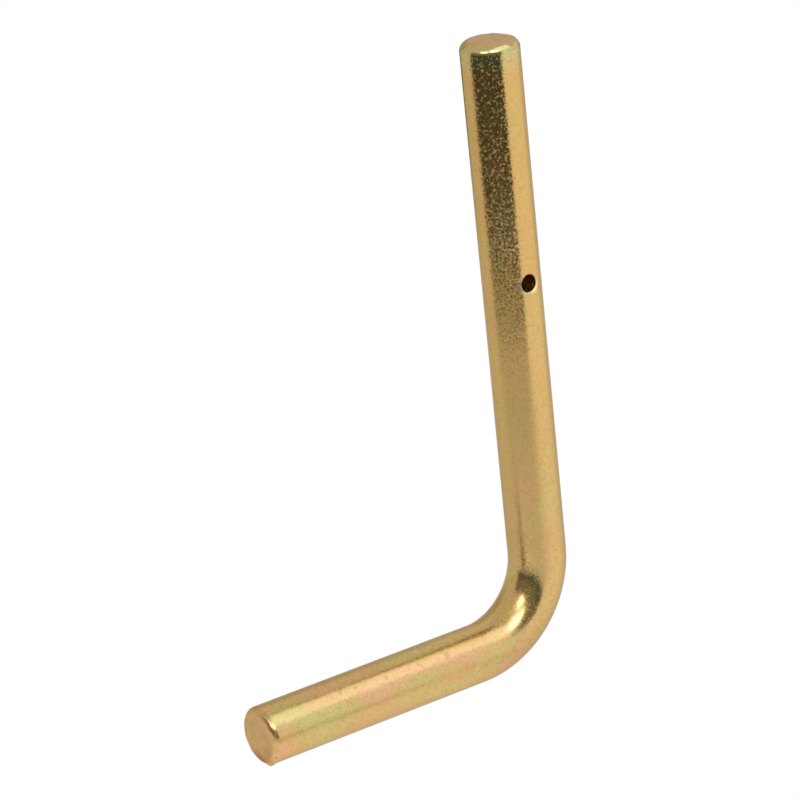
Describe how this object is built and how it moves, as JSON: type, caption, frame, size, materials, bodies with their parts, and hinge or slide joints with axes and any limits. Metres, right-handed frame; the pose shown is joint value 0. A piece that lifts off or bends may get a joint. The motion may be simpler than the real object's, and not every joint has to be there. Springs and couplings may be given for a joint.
{
  "type": "bent window stay pin",
  "caption": "Round steel bar bent once to a right-angled L, with a small cross-hole through the long leg for a split pin; yellow zinc plated.",
  "frame": {"origin": "middle of the cross-hole, on the long leg's centreline", "axes": "+Z along the long leg, from the bend to its free end; -X from the long leg the way the short leg points; +Y completes the right-handed frame and runs along the cross-hole, square to the plane of the bend"},
  "size_m": [0.0769, 0.012, 0.1312],
  "materials": {
    "yellow_zinc_plate": "zinc electroplate on drawn mild steel with a yellow chromate film: bright gold with faint pink and green iridescence over a fine orange-peel grain"
  },
  "bodies": {
    "root": {"bent_bar": "yellow_zinc_plate"}
  },
  "joints": []
}
